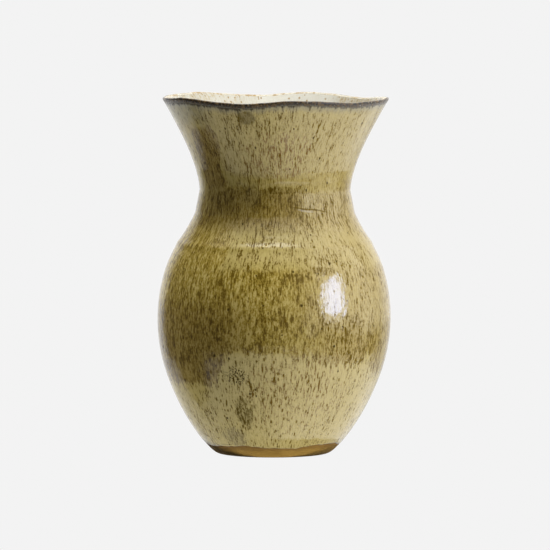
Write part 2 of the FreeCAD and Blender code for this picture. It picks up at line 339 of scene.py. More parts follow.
def build_liner_glaze():
    rows = Rows()
    a = rows.azimuth
    high = glaze_inside.length_at(lip_top(a) - BAND_IN)
    for k in range(LINER_ROWS + 1):
        s = high + (FLOOR_START - high) * k / LINER_ROWS
        r, z, nr, nz = glaze_inside.at(s)
        fade = ease(8.5, 20, z) * (1 - ease(212, 217, z))
        relief = fade * (0.5 * ring_relief(z + 4, a + 1) + 0.03 * np.sin(2 * math.pi * z / 7.1 - a))
        rows.add(r + relief * nr, z + relief * nz, s, high - s)
    top = clay_inside.length_at(lip_top(a) - BAND_IN)
    back_rows = range(LINER_BACK_ROWS + 1)
    backs = [FLOOR_START + (top - FLOOR_START) * k / LINER_BACK_ROWS for k in back_rows]
    return rows.build_on_clay("vase_liner_glaze", backs)


# What the clay's mark says to its material.
UNDERSIDE, UPRIGHT = 1.0, 0.0
RECESS_ROWS = (2, 6, 10, 14, 18, 21, 23)  # radii across the turned recess
RING_ROWS = (28.5, 29.5, 30.5, 31.5)  # radii across the ring's resting face
# Turning lines on the bare foot: (depth, pitch). They end under the glaze.
TURNING_LINES = [(0.018, 0.9), (0.012, 0.41)]
TURNING_STEP = 0.16
TURNING_TOP = 10


def add_underside(rows):
    """The recess from its middle out, its sloped wall, and the foot ring's resting face."""
    a = rows.azimuth
    recess = RING_INSIDE - RING_SLOPE
    for r in (*RECESS_ROWS, recess - 0.5):
        rows.add(r, RING_DEPTH + 0.03 * np.sin(r * 2.2 + a), r, UNDERSIDE)
    rows.add(recess + 0.1, RING_DEPTH - 0.15, recess, UNDERSIDE)
    slope_rows = 5
    for k in range(1, slope_rows):
        share = k / slope_rows
        x = recess + RING_SLOPE * share
        rows.add(x, RING_DEPTH * (1 - share), x, UNDERSIDE)
    round_rows = 4
    for k in range(round_rows + 1):
        sine = math.sin(0.4 * math.pi * k / round_rows)
        x = RING_INSIDE + 0.2 + RING_ROUND * sine
        rows.add(x, 0.3 * RING_ROUND * (1 - sine), x, UNDERSIDE)
    for r in RING_ROWS:
        rows.add(r, 0, r, UNDERSIDE)


def add_foot_round(rows, start):
    """The foot's outer edge, a quadratic curve from the resting face into the outline."""
    foot = CLAY_OUTSIDE[0][0]
    joins_at, joins_up, _, _ = clay_outside.at(start)
    steps = 7
    for k in range(steps):
        t = k / steps
        base = (1 - t) ** 2 * (foot - FOOT_ROUND * 1.1) + 2 * t * (1 - t) * (foot + 0.1)
        z = t * t * joins_up
        rows.add(base + t * t * joins_at, z, z, UPRIGHT)


def build_clay():
    rows = Rows(CLAY_SEGMENTS)
    a = rows.azimuth
    add_underside(rows)
    start = clay_outside.length_at(FOOT_ROUND * 1.2)
    add_foot_round(rows, start)
    # Up the foot, with fine turning lines, and on under the glaze.
    fine = np.arange(start, clay_outside.length_at(TURNING_TOP), TURNING_STEP)
    for s in fine:
        r, z, nr, nz = clay_outside.at(s)
        cut = sum(depth * math.sin(2 * math.pi * s / pitch) for depth, pitch in TURNING_LINES)
        cut *= 1 - ease(6, 8.5, z)
        rows.add(r + cut * nr, z + cut * nz, s, UPRIGHT)
    top = clay_outside.length_at(lip_top(a) - BAND_OUT)
    for k in range(1, CLAY_ROWS + 1):
        s = fine[-1] + (top - fine[-1]) * k / CLAY_ROWS
        r, z, _, _ = clay_outside.at(s)
        rows.add(r, z, s, UPRIGHT)
    for k in range(CLAY_TOP_ROWS + 1):
        r, z = clay_lip(a, k / CLAY_TOP_ROWS)
        rows.add(r, z, z, UPRIGHT)
    high = clay_inside.length_at(lip_top(a) - BAND_IN - 0.3)
    for k in range(1, CLAY_ROWS + 1):
        s = high + (FLOOR_START - high) * k / CLAY_ROWS
        r, z, _, _ = clay_inside.at(s)
        rows.add(r, z, s, UPRIGHT)
    return rows.build("vase_clay", first_pole=RING_DEPTH, last_pole=clay_inside.z[0])


# ---------------------------------------------------------------- node materials
IOR = 1.5  # of every glaze, and of the clay


class Graph:
    """Short names for building a node tree."""

    def __init__(self, name):
        self.material = bpy.data.materials.new(name)
        self.material.use_nodes = True
        self.tree = self.material.node_tree
        self.tree.nodes.clear()

    def node(self, kind, settings=None, **inputs):
        """A new node. An input goes by its number, as i0, or its name, with _ for each space."""
        n = self.tree.nodes.new("ShaderNode" + kind)
        for key, value in (settings or {}).items():
            setattr(n, key, value)
        for key, value in inputs.items():
            by_number = key[0] == "i" and key[1:].isdigit()
            self.link(value, n.inputs[int(key[1:]) if by_number else key.replace("_", " ")])
        return n

    def link(self, value, socket):
        """Links a socket, or sets a plain value; a colour of three gets its alpha."""
        if isinstance(value, bpy.types.NodeSocket):
            self.tree.links.new(value, socket)
        elif isinstance(value, (tuple, list)) and len(value) == 3 and socket.type == "RGBA":
            socket.default_value = (*value, 1)
        else:
            socket.default_value = value

    def math(self, operation, a, b=0.0, c=0.0):
        return self.node("Math", {"operation": operation}, i0=a, i1=b, i2=c).outputs[0]

    def vector(self, operation, *vectors):
        inputs = {f"i{k}": vector for k, vector in enumerate(vectors)}
        return self.node("VectorMath", {"operation": operation}, **inputs).outputs[0]

    def add(self, a, b):
        return self.math("ADD", a, b)

    def mul(self, a, b):
        return self.math("MULTIPLY", a, b)

    def sub(self, a, b):
        return self.math("SUBTRACT", a, b)

    def most(self, *values):
        """The largest of the values."""
        largest = values[0]
        for value in values[1:]:
            largest = self.math("MAXIMUM", largest, value)
        return largest

    def swing(self, noise, size):
        """A noise of 0 to 1, turned into one about 0 and of that size in all."""
        return self.mul(self.sub(noise, 0.5), size)

    def step(self, value, low, high, to_low=0.0, to_high=1.0):
        """value eased from low to high, as to_low to to_high."""
        settings = {"interpolation_type": "SMOOTHSTEP"}
        n = self.node("MapRange", settings, i0=value, i1=low, i2=high, i3=to_low, i4=to_high)
        return n.outputs[0]

    def mix(self, factor, a, b, blend="MIX"):
        # Inputs 6 and 7 and output 2 are the node's colour sockets.
        settings = {"data_type": "RGBA", "blend_type": blend}
        return self.node("Mix", settings, i0=factor, i6=a, i7=b).outputs[2]

    def tinted(self, factor, color, tint):
        """color, multiplied by the tint as far as factor says."""
        return self.mix(factor, color, self.mix(1.0, color, tint, "MULTIPLY"))

    def attribute(self, name):
        n = self.node("Attribute", {"attribute_name": name})
        return n.outputs["Vector"] if name == "flow" else n.outputs["Fac"]

    def stretch(self, vector, around, along, shift=0.0):
        """The flow coordinates with a pattern's size round and along the pot, in mm."""
        scale = (1 / around, 1 / around, 1 / along)
        return self.vector("MULTIPLY_ADD", vector, scale, (shift, shift, shift))

    def noise(self, vector, detail=2.0, roughness=0.5, output="Fac"):
        n = self.node("TexNoise", None, Vector=vector, Scale=1.0, Detail=detail, Roughness=roughness)
        return n.outputs[output]

    def cells(self, vector):
        """The distance to the nearest cell's centre, and two random values for that cell."""
        n = self.node("TexVoronoi", None, Vector=vector, Scale=1.0, Randomness=1.0)
        split = self.node("SeparateColor", None, Color=n.outputs["Color"])
        return n.outputs["Distance"], split.outputs[0], split.outputs[1]

    def specks(self, vector, share, small, large, soft):
        """Spots in that share of the cells, each of its own size."""
        distance, pick, size = self.cells(vector)
        chosen = self.math("LESS_THAN", pick, share)
        radius = self.step(size, 0.0, 1.0, small, large)
        inside = self.step(self.sub(distance, radius), 0.0, soft, 1.0, 0.0)
        return self.mul(inside, chosen)

    def place(self):
        """The height on the pot in mm, and the azimuth in radians."""
        position = self.node("TexCoord").outputs["Object"]
        x, y, z = self.node("SeparateXYZ", None, Vector=position).outputs
        return self.mul(z, 1 / MM), self.math("ARCTAN2", y, x)

    def finish(self, color, roughness, relief, relief_size, **extra):
        """The finished material. relief_size is the height, in metres, of a relief of 1."""
        bump = self.node("Bump", None, Strength=1.0, Distance=relief_size, Height=relief)
        shader = self.node("BsdfPrincipled", None, Base_Color=color, Roughness=roughness,
                           IOR=IOR, Normal=bump.outputs[0], **extra)
        self.node("OutputMaterial", None, Surface=shader.outputs[0])
        return self.material


def facing(g, azimuth, middle_deg, inner_deg, outer_deg):
    """1 on the side of the pot about middle, within inner degrees of it, and 0 beyond outer."""
    away = g.math("COSINE", g.sub(azimuth, math.radians(middle_deg)))
    return g.step(away, math.cos(math.radians(outer_deg)), math.cos(math.radians(inner_deg)))


def spot(g, flow, azimuth_deg, height, around_mm, along_mm, ragged, grain):
    """1 inside a ragged patch of the pot at that azimuth and height, 0 outside."""
    a = math.radians(azimuth_deg)
    along = float(glaze_outside.length_at(height))
    centre = (FLOW_RADIUS * math.cos(a), FLOW_RADIUS * math.sin(a), along)
    away = g.vector("SUBTRACT", flow, centre)
    scaled = g.vector("MULTIPLY", away, (1 / around_mm, 1 / around_mm, 1 / along_mm))
    length = g.node("VectorMath", {"operation": "LENGTH"}, i0=scaled).outputs["Value"]
    wobble = g.swing(g.noise(g.stretch(flow, grain * 0.5, grain)), ragged * 2)
    return g.step(g.add(length, wobble), 0.7, 1.15, 1.0, 0.0)


# ---------------------------------------------------------------- the outer glaze
GLAZE_LIGHT = (0.58, 0.45, 0.135)
GLAZE_MID = (0.350, 0.248, 0.036)
GLAZE_DARK = (0.135, 0.083, 0.005)
# a painted sheen: the colour that the dark streaks pale to on the right, under the key light
SHEENED_STREAK = (0.27, 0.175, 0.018)  # what the dark streaks soften to, towards the right
GLAZE_THICK = (0.50, 0.392, 0.114)
GLAZE_LOW = (0.66, 0.54, 0.19)  # the thick coat of the lower belly
# painted shade on the left side of the belly, neck and flare
LEFT_SHADE_TINT = (0.50, 0.42, 0.26)
RUST = (0.235, 0.120, 0.015)
SPECK_BROWN = (0.130, 0.076, 0.004)
SPECK_BLACK = (0.048, 0.029, 0.003)
# painted shade on the far side, against the light from behind
FAR_SIDE_SHADE_TINT = (0.50, 0.47, 0.60)
# a dark blotch's colour, also used for painted shade low on the left by the foot
BLOTCH_AND_SHADE = (0.110, 0.075, 0.012)
SCORCH = (0.095, 0.065, 0.012)
OLIVE_PATCH = (0.15, 0.105, 0.010)
# a painted glint just below the neck's crease
CREASE_GLINT = (0.80, 0.76, 0.62)
BLEED = (0.20, 0.195, 0.135)
BLEED_GREEN = (0.25, 0.255, 0.185)
LIP_STAIN = (0.045, 0.033, 0.014)
LOWER_EDGE = (0.075, 0.042, 0.012)

# Where iron gathers in dashes or, below 0, thins out, and one patch lightened as a painted
# highlight: azimuth in degrees, height, half-width round and along in mm, and how much darker.
TONE_MARKS = [
    (-84, 165.0, 16, 2.6, 0.45),
    (-78, 112.5, 9, 3.5, 0.36),
    (-63, 116.5, 8, 3.0, 0.44),
    (-50, 123.0, 6, 6.0, 0.20),
    (-33, 124.0, 8, 9.0, 0.14),
    (-38, 100.0, 13, 13.0, -0.16),
    # Lightened where the softbox's highlight falls on the belly: a painted highlight that clears the
    # streaks there.
    (-58.5, 101.5, 10, 15.0, -0.55),
    (-106, 162.0, 6, 4.0, -0.45),
    (-106, 77.0, 6, 7.0, -0.40),
    (-119, 95.0, 5, 16, 0.22),
]
CREASE_AZIMUTH, CREASE_HEIGHT, CREASE_SLANT = -61.0, 153.0, 0.15  # the slant in mm per degree


class Coat:
    """The outer glaze's patterns, zones and colour. Each step paints over the ones before it."""

    def __init__(self, g):
        self.g = g
        self.flow = g.attribute("flow")
        self.height, self.azimuth = g.place()
        self.from_line = g.attribute("mark")

        # The runs waver a little on their way down.
        sway = g.noise(g.stretch(self.flow, 14, 40), 1.0, output="Color")
        bend = g.vector("SUBTRACT", sway, (0.5, 0.5, 0.5))
        self.swayed = g.vector("MULTIPLY_ADD", bend, (2.0, 2.0, 2.0), self.flow)
        self.hair = g.noise(g.stretch(self.swayed, 1.0, 4.4), 2, 0.65)
        self.run = g.noise(g.stretch(self.swayed, 2.6, 12, 7.3), 2, 0.55)
        self.cloud = g.noise(g.stretch(self.flow, 20, 24, 3.1), 2, 0.5)
        self.grain = g.noise(g.stretch(self.flow, 0.8, 1.3, 1.7), 1, 0.6)
        self.drip = g.add(g.swing(self.run, 12.0), g.swing(self.hair, 7.0))

    def facing(self, *angles):
        return facing(self.g, self.azimuth, *angles)

    def spot(self, *place):
        return spot(self.g, self.flow, *place)

    def paint(self, amount, color):
        self.color = self.g.mix(amount, self.color, color)

    def lay_zones(self):
        """Thick and pale on the flare, the shoulder and the lower belly, and thin between. On
        one side the thin, darker bands reach further up the flare and down the belly."""
        g, height, drip = self.g, self.height, self.drip
        dripped = g.add(height, drip)
        wander = g.add(self.azimuth, g.add(g.swing(self.cloud, 0.25), g.swing(self.run, 0.14)))
        far_left = facing(g, wander, -160, 39, 43)
        far_right = self.facing(0, 26, 36)
        self.flare_gap = facing(g, wander, -141, 11, 13)
        self.left = self.facing(-160, 30, 75)
        self.right = self.facing(-20, 25, 75)

        low_line = g.sub(66.0, g.add(g.mul(far_left, 20.0), g.mul(far_right, 14.0)))
        low_line = g.sub(low_line, g.mul(facing(g, wander, -52, 10, 20), 7.0))
        self.low_pale = g.step(g.sub(dripped, low_line), -1.5, 1.5, 1.0, 0.0)
        flare_line = g.add(162.5, g.add(g.mul(self.flare_gap, 40.0), g.mul(far_right, 7.0)))
        flare_line = g.add(flare_line, g.mul(self.facing(-114, 10, 22), 5.0))
        short_drip = g.add(height, g.mul(drip, 0.7))
        self.flare_pale = g.step(g.sub(short_drip, flare_line), -1.0, 1.0)
        shoulder = g.mul(g.step(dripped, 115.5, 119.5), g.step(dripped, 136, 147, 1.0, 0.0))
        self.shoulder_pale = g.mul(shoulder, g.sub(1.0, far_left))
        self.pale = g.most(self.low_pale, self.flare_pale, g.mul(self.shoulder_pale, 0.9))
        low_right = g.mul(facing(g, wander, -48, 12, 26), g.step(dripped, 80, 96, 1.0, 0.0))
        self.low_right = g.mul(low_right, g.sub(1.0, self.low_pale))

    def add_tone(self):
        """The coat's own colour, from light to dark, with its streaks."""
        g = self.g
        tone = g.add(g.swing(self.hair, 3.6), g.swing(self.run, 1.6))
        tone = g.add(tone, g.swing(self.cloud, 0.8))
        tone = g.add(tone, g.swing(self.grain, 1.5))
        in_flare_or_low = g.mul(g.add(self.low_pale, self.flare_pale), 0.05)
        tone = g.sub(tone, g.add(g.mul(self.pale, 0.10), in_flare_or_low))
        # Darker low on the right: partly the glaze's own brown streaks, and partly painted shade
        # where the glaze there mirrors a dim wall.
        tone = g.add(tone, g.mul(self.low_right, 0.14))
        for azimuth_deg, height, around, along, more in TONE_MARKS:
            mark = self.spot(azimuth_deg, height, around, along, 0.5, 3.0)
            tone = g.add(tone, g.mul(mark, more))

        # Painted sheen on the right: the light streaks go to the mid tone and the dark ones pale, so
        # the streaks flatten as under the key light's veil.
        light = g.mix(g.mul(self.right, 0.65), GLAZE_LIGHT, GLAZE_MID)
        self.color = g.mix(g.step(tone, -0.60, 0.05), light, GLAZE_MID)
        # Painted light: the pale zones take more of the thick coat's colour on the left, and the
        # shoulder takes more of it away from the right.
        on_shoulder = g.mul(self.shoulder_pale, g.sub(0.35, g.mul(self.right, 0.3)))
        thick = g.mul(self.pale, g.add(0.42, g.mul(self.left, 0.25)))
        self.paint(g.add(thick, on_shoulder), GLAZE_THICK)
        self.paint(g.mul(self.low_pale, 0.2), GLAZE_LOW)
        high_pale = g.sub(self.pale, self.low_pale)
        # Painted sheen: the dark streaks pale towards the right.
        sheened = g.mul(self.right, g.add(0.15, g.mul(high_pale, 0.35)))
        self.dark = g.step(tone, 0.02, 0.62)
        self.paint(self.dark, g.mix(sheened, GLAZE_DARK, SHEENED_STREAK))

    def paint_left_shade(self):
        """Painted shade on the left side: darkens the belly, the neck and the gap in the flare
        there.
        """
        g, height = self.g, self.height
        belly = g.mul(self.left, g.sub(1.0, g.most(self.pale, g.step(height, 84, 108))))
        at_neck = g.mul(g.step(height, 136, 147), g.step(height, 163, 168, 1.0, 0.0))
        neck = g.mul(self.facing(-112, 24, 52), at_neck)
        gap = g.mul(g.mul(self.flare_gap, g.sub(1.0, self.pale)), g.step(height, 160, 168))
        left_shade = g.most(belly, g.mul(neck, 0.8), gap)
        self.color = g.tinted(g.mul(left_shade, 0.6), self.color, LEFT_SHADE_TINT)

    def add_specks(self):
        """Rust in two patches at the front, and brown and black iron specks all over."""
        g = self.g
        on_flare = self.spot(-86, 187, 24, 17, 0.9, 9.0)
        on_belly = self.spot(-76, 42, 30, 26, 0.9, 9.0)
        rusty = g.most(on_flare, g.mul(on_belly, 0.5))
        rust = g.mul(rusty, g.step(self.hair, 0.50, 0.60))
        self.paint(g.mul(rust, 0.75), RUST)
        self.brown = g.specks(g.stretch(self.swayed, 1.7, 3.8), 0.38, 0.04, 0.27, 0.12)
        strength = g.sub(0.8, g.add(g.mul(self.flare_pale, 0.15), g.mul(self.right, 0.1)))
        self.paint(g.mul(self.brown, strength), SPECK_BROWN)
        self.black = g.specks(g.stretch(self.swayed, 3.4, 5.2, 5.0), 0.20, 0.03, 0.16, 0.06)
        self.paint(g.mul(self.black, 0.9), SPECK_BLACK)

    def add_kiln_marks(self):
        """Painted shade on the far side, a dark blotch and painted shade low on the left by the
        foot, a scorch at the neck, a cluster of iron above them, and an olive patch near the lip."""
        g = self.g
        # Painted shade on the far side.
        self.color = g.tinted(g.mul(self.facing(90, 45, 85), 0.8), self.color, FAR_SIDE_SHADE_TINT)
        streaky = g.step(g.add(self.hair, g.swing(self.grain, 0.6)), 0.36, 0.60, 0.35, 1.0)
        self.blotch = g.mul(self.spot(-108, 29, 6.5, 10, 0.9, 4.0), streaky)
        self.paint(g.mul(self.blotch, 0.85), BLOTCH_AND_SHADE)
        # Painted shade low on the left, by the foot.
        low_left_shade = g.mul(self.spot(-119, 13, 10, 8, 0.8, 4.0), streaky)
        self.paint(g.mul(low_left_shade, 0.6), BLOTCH_AND_SHADE)
        scorch = g.mul(self.spot(-107, 161, 8, 8, 0.35, 4.0), streaky)
        self.paint(g.mul(scorch, 0.5), SCORCH)
        grains = g.step(self.grain, 0.44, 0.56)
        self.cluster = g.mul(self.spot(-110, 53, 6, 6, 0.8, 2.5), grains)
        self.paint(g.mul(self.cluster, 0.9), SPECK_BLACK)
        patch = self.spot(-105.7, 210.3, 5.3, 5.2, 0.22, 3.0)
        self.patch = g.mul(patch, g.add(0.6, g.mul(streaky, 0.4)))
        self.paint(g.mul(self.patch, 0.9), OLIVE_PATCH)

    def add_crease(self):
        """A short crease on the neck, painted in colour only: dark brown along its line, with a
        painted glint just below it.
        """
        g = self.g
        past_middle = g.sub(g.mul(self.azimuth, math.degrees(1)), CREASE_AZIMUTH)
        above = g.add(g.sub(self.height, CREASE_HEIGHT), g.mul(past_middle, CREASE_SLANT))
        above = g.add(above, g.swing(self.cloud, 6.0))
        line = g.step(g.math("ABSOLUTE", above), 0.20, 0.70, 1.0, 0.0)
        self.crease = g.mul(line, self.facing(-63, 9, 18))
        self.paint(g.mul(self.crease, 0.7), SPECK_BROWN)
        # A painted glint just below the crease.
        below = g.step(g.math("ABSOLUTE", g.add(above, 1.2)), 0.3, 0.9, 1.0, 0.0)
        self.paint(g.mul(g.mul(below, self.facing(-66, 3, 7)), 0.22), CREASE_GLINT)

    def add_edges(self):
        """Iron bleeds from under the lip, grey-green at first, and darkens the lower edge."""
        g = self.g
        below_lip = lip_distance(g, self.height, self.azimuth)
        ragged = g.add(below_lip, g.add(g.swing(self.run, -4.0), g.swing(self.hair, -2.0)))
        bleed = g.step(ragged, 3.0, 8.0, 1.0, 0.0)
        self.paint(g.mul(bleed, g.sub(0.6, g.mul(self.patch, 0.5))), BLEED)
        reach = g.step(g.add(below_lip, self.drip), 8, 21, 1.0, 0.0)
        self.paint(g.mul(g.mul(self.facing(-158, 12, 36), reach), 0.5), BLEED_GREEN)
        self.stain = g.step(g.sub(ragged, g.mul(self.left, 0.7)), 2.6, 4.2, 1.0, 0.0)
        self.paint(g.mul(self.stain, 0.9), LIP_STAIN)
        edge = g.step(g.add(self.from_line, g.swing(self.run, 1.2)), 0.2, 1.2, 1.0, 0.0)
        self.paint(g.mul(edge, 0.85), LOWER_EDGE)

    def relief(self):
        """Lumps of the coat, the runs, and pits at the iron specks, in mm."""
        g = self.g
        lumps = g.noise(g.stretch(self.flow, 3.0, 4.2, 9.0), 1, 0.5)
        relief = g.add(g.mul(self.hair, 0.07), g.mul(lumps, 0.16))
        relief = g.sub(relief, g.mul(self.brown, 0.02))
        return g.sub(relief, g.mul(self.black, 0.03))

    def gloss(self):
        """The iron in the dark streaks and marks takes the shine off them."""
        g = self.g
        lit = g.most(self.pale, self.low_right, self.right)
        dull_streaks = g.mul(self.dark, g.add(0.12, g.mul(lit, 0.32)))
        dull = g.most(self.brown, self.black, self.blotch, self.cluster, g.mul(self.stain, 0.6),
                      g.mul(self.patch, 0.35), g.mul(self.crease, 0.8))
        return g.most(g.sub(0.5, g.add(dull_streaks, g.mul(dull, 0.44))), 0.03)


def outer_glaze_material():
    g = Graph("outer_glaze_look")
    coat = Coat(g)
    coat.lay_zones()
    coat.add_tone()
    # Painted shade on the left side.
    coat.paint_left_shade()
    coat.add_specks()
    coat.add_kiln_marks()
    coat.add_crease()
    coat.add_edges()
    roughness = g.add(0.11, g.add(g.swing(coat.cloud, 0.05), g.mul(coat.brown, 0.15)))
    return g.finish(coat.color, roughness, coat.relief(), MM, Specular_IOR_Level=coat.gloss())


def lip_distance(g, height, azimuth):
    """How far below the wavy lip a point is, in mm."""
    lip = float(LIP_HEIGHT)
    for count, rise, phase in LIP_WAVES:
        angle = g.math("MULTIPLY_ADD", azimuth, float(count), math.radians(phase))
        lip = g.add(lip, g.mul(g.math("COSINE", angle), rise))
    return g.sub(lip, height)


# ---------------------------------------------------------------- the other materials
IRON, IRON_BROWN = (0.016, 0.011, 0.006), (0.120, 0.075, 0.028)
# pale chips in the iron, also painted brighter as glints of the softbox
CHIPS_AND_GLINTS = (0.40, 0.36, 0.28)
IRON_FADED = (0.16, 0.15, 0.10)
RIM_CREAM, RIM_RUST = (0.46, 0.43, 0.34), (0.28, 0.19, 0.075)
LINER_CREAM, LINER_BUFF = (0.47, 0.455, 0.385), (0.42, 0.395, 0.31)
LINER_THICK = (0.55, 0.54, 0.475)
LINER_STREAK = (0.38, 0.29, 0.13)
LINER_SPECK = (0.25, 0.155, 0.045)
LINER_RUST = (0.30, 0.21, 0.08)
CLAY_LIGHT, CLAY_DARK = (0.37, 0.222, 0.047), (0.28, 0.163, 0.031)
CLAY_RING = (0.18, 0.10, 0.018)
CLAY_SAND = (0.48, 0.31, 0.085)
CLAY_GROG = (0.10, 0.055, 0.02)
CLAY_FLASH = (0.165, 0.085, 0.022)
CLAY_FOOT_DARK = (0.22, 0.14, 0.06)
LINER_RELIEF, CLAY_RELIEF = 0.06 * MM, 0.1 * MM


def lip_glaze_material():
    g = Graph("lip_glaze_look")
    flow = g.attribute("flow")
    turn = g.attribute("mark")
    _, azimuth = g.place()
    mottle = g.noise(g.stretch(flow, 1.3, 1.6), 3, 0.6)
    blot = g.noise(g.stretch(flow, 5.0, 5.0, 2.0), 2, 0.5)
    color = g.mix(g.step(mottle, 0.40, 0.66), IRON, IRON_BROWN)
    # Pale chips in the iron, painted brighter on the right front as glints of the softbox.
    chip_glint = g.add(0.35, g.mul(facing(g, azimuth, -50, 18, 40), 0.5))
    chips = g.specks(g.stretch(flow, 1.1, 1.0, 4.0), 0.22, 0.05, 0.28, 0.12)
    color = g.mix(g.mul(chips, chip_glint), color, CHIPS_AND_GLINTS)
    # The iron grades into the outer coat, and breaks to the liner's cream over the top.
    fading = g.step(g.add(turn, g.swing(mottle, 0.9)), 0.0, 0.16, 1.0, 0.0)
    color = g.mix(g.mul(fading, 0.7), color, IRON_FADED)
    rust = g.step(g.add(mottle, g.swing(blot, 0.8)), 0.42, 0.70)
    inside = g.step(g.add(turn, g.swing(blot, 0.30)), 0.60, 0.74)
    color = g.mix(inside, color, g.mix(rust, RIM_CREAM, RIM_RUST))
    roughness = g.add(0.14, g.mul(mottle, 0.16))
    relief = g.add(g.mul(mottle, 0.35), g.mul(blot, 0.25))
    return g.finish(color, roughness, relief, MM, Specular_IOR_Level=0.20)


def liner_glaze_material():
    g = Graph("liner_glaze_look")
    flow = g.attribute("flow")
    from_lip = g.attribute("mark")
    _, azimuth = g.place()
    hair = g.noise(g.stretch(flow, 1.0, 4.0), 3, 0.6)
    cloud = g.noise(g.stretch(flow, 9, 12, 4.0), 2, 0.5)
    # Thin and rusty towards the lip, most on the right and least where it ran thick behind.
    right = facing(g, azimuth, 24, 16, 32)
    thick = facing(g, azimuth, 78, 14, 32)
    color = g.mix(g.step(cloud, 0.3, 0.7), LINER_CREAM, LINER_BUFF)
    color = g.mix(g.mul(thick, 0.7), color, LINER_THICK)
    streaky = g.mul(g.step(hair, 0.46, 0.70, 0.0, 0.6), g.sub(1.0, g.mul(thick, 0.8)))
    color = g.mix(streaky, color, LINER_STREAK)
    distance, pick, size = g.cells(g.stretch(flow, 1.5, 2.3))
    near_lip = g.step(from_lip, 1.0, 14.0, 0.85, 0.26)
    chosen = g.math("LESS_THAN", pick, g.mul(near_lip, g.sub(1.0, g.mul(thick, 0.6))))
    radius = g.step(size, 0.0, 1.0, 0.06, 0.36)
    brown = g.mul(g.step(g.sub(distance, radius), 0.0, 0.12, 1.0, 0.0), chosen)
    color = g.mix(g.mul(brown, 0.85), color, LINER_SPECK)
    patchy = g.step(g.add(cloud, g.swing(hair, 0.8)), 0.50, 0.70)
    rust = g.add(g.mul(patchy, 0.40), g.mul(right, 0.35))
    rust = g.mul(rust, g.step(from_lip, 0.5, 9.0, 1.0, 0.0))
    rust = g.mul(rust, g.sub(1.0, g.mul(thick, 0.85)))
    color = g.mix(g.mul(rust, g.step(hair, 0.40, 0.62, 0.4, 1.0)), color, LINER_RUST)
    relief = g.sub(g.mul(hair, 0.3), g.mul(brown, 0.4))
    return g.finish(color, 0.14, relief, LINER_RELIEF)


def clay_material():
    g = Graph("bare_clay_look")
    flow = g.attribute("flow")
    underside = g.attribute("mark")
    height, _ = g.place()
    cloud = g.noise(g.stretch(flow, 13, 5), 3, 0.55)
    sand = g.noise(g.stretch(flow, 0.55, 0.5, 2.0), 2, 0.6)
    rings = g.noise(g.stretch(flow, 45, 0.8, 5.0), 2, 0.5)
    color = g.mix(g.step(cloud, 0.3, 0.7), CLAY_LIGHT, CLAY_DARK)
    color = g.mix(g.step(rings, 0.45, 0.75, 0.0, 0.35), color, CLAY_RING)
    color = g.mix(g.step(sand, 0.55, 0.8, 0.0, 0.4), color, CLAY_SAND)
    grog = g.specks(g.stretch(flow, 1.6, 1.6, 6.0), 0.20, 0.06, 0.22, 0.08)
    color = g.mix(g.mul(grog, 0.7), color, CLAY_GROG)
    # It is flashed dark just under the glaze, and darker towards the bottom where it stands.
    flash = g.step(g.add(height, g.swing(cloud, 3.0)), 3.6, 6.6)
    color = g.mix(g.mul(flash, g.step(underside, 0, 1, 0.55, 0.0)), color, CLAY_FLASH)
    color = g.mix(g.step(height, 0.0, 1.2, 0.35, 0.0), color, CLAY_FOOT_DARK)
    roughness = g.add(0.62, g.mul(sand, 0.2))
    relief = g.add(g.mul(sand, 0.8), g.mul(rings, 0.6))
    return g.finish(color, roughness, relief, CLAY_RELIEF, Specular_IOR_Level=0.12)


# ---------------------------------------------------------------- the pieces
PIECES = [
    (build_clay, "stoneware_body", "bare_stoneware", clay_material),
    (build_outer_glaze, "outer_glaze", "outer_glaze", outer_glaze_material),
    (build_liner_glaze, "liner_glaze", "liner_glaze", liner_glaze_material),
    (build_lip_glaze, "lip_glaze", "iron_glaze", lip_glaze_material),
]
for build_piece, node, slot, make_material in PIECES:
    piece = build_piece()
    piece.data.materials.append(make_material())
    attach(piece, "root")
    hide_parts(node)

# ---------------------------------------------------------------- studio, in metres
STUDIO_PALE = 0.896  # the floor and backdrop as the camera sees them
POT_MIDDLE = (0, 0, 0.1)
FLOOR_HALF = 6.0
FLOOR_HEIGHT = -0.001
CARD_HEIGHT = -0.0006  # of the cards just under the foot, for light and for the mirror image
SHADE_RADIUS, SHADE_STRETCH = 0.0345, 1.56
MIRROR_RADIUS, MIRROR_GLOW = 0.050, 0.9
DOME_RADIUS = 4.0
DISC_CORNERS = 24


def polar(azimuth_deg, elevation_deg, distance, centre=POT_MIDDLE):
    """A point about the pot: azimuth 0 is towards the camera, and positive to its right."""
    a, e = math.radians(azimuth_deg), math.radians(elevation_deg)
    x = math.sin(a) * math.cos(e) * distance
    y = -math.cos(a) * math.cos(e) * distance
    return (centre[0] + x, centre[1] + y, centre[2] + math.sin(e) * distance)


# Lights for the pigment: name, place, width, height and radiance.
SOFT_LIGHTS = [
    ("key_front", polar(45, 10, 1.5), 0.4, 0.4, 10.0),
    ("key_right", polar(61, 11, 1.5), 0.6, 0.6, 1.3),
    ("key_raised", polar(61, 40, 1.5), 0.8, 0.8, 2.6),
    ("key_low", polar(60, -20, 1.5), 0.4, 0.4, 5.9),
    ("overhead", (0.1, -0.1, 1.3), 1.4, 1.4, 3.4),
    ("overhead_left", (-0.35, -0.1, 1.4), 0.3, 0.3, 30.0),
    ("table_right", polar(80, -45, 1.5), 1.0, 1.0, 3.1),
    ("table_left", (-0.35, -0.1, -0.7), 0.9, 0.9, 1.85),
    ("backdrop", (0, 0.9, 0.3), 1.4, 1.0, 7.5),
    ("rim_left", polar(-125, 5, 1.5), 0.4, 0.6, 1.7),
    ("rim_low_left", polar(-112, -38, 1.3), 0.4, 0.4, 5.0),
]
